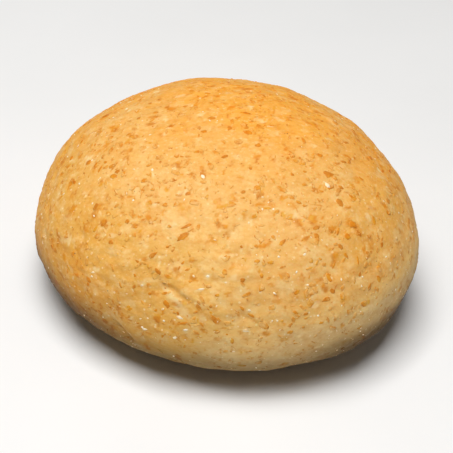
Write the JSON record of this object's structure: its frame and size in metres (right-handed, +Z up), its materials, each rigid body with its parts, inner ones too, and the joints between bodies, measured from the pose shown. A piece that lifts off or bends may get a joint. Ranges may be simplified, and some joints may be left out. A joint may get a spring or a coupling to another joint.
{
  "type": "wholemeal bread roll",
  "caption": "Round wholemeal bread roll: a low golden dome with a rounded belly, a flat base, a shallow front crease and bran flakes in the crust.",
  "frame": {"origin": "centre of the flat base, on the surface that the roll rests on", "axes": "+Z up through the crown, +X along the longest way across, -Y towards the front with the crease"},
  "size_m": [0.1008, 0.0932, 0.0536],
  "materials": {
    "crust": "soft golden baked crust, matt with a faint satin sheen, paler on the belly",
    "bran": "orange-brown bran flakes, dry and matt",
    "pale_grain": "cream crumbs of broken grain, slightly translucent"
  },
  "bodies": {
    "root": {"bread_roll": "crust"}
  },
  "joints": []
}
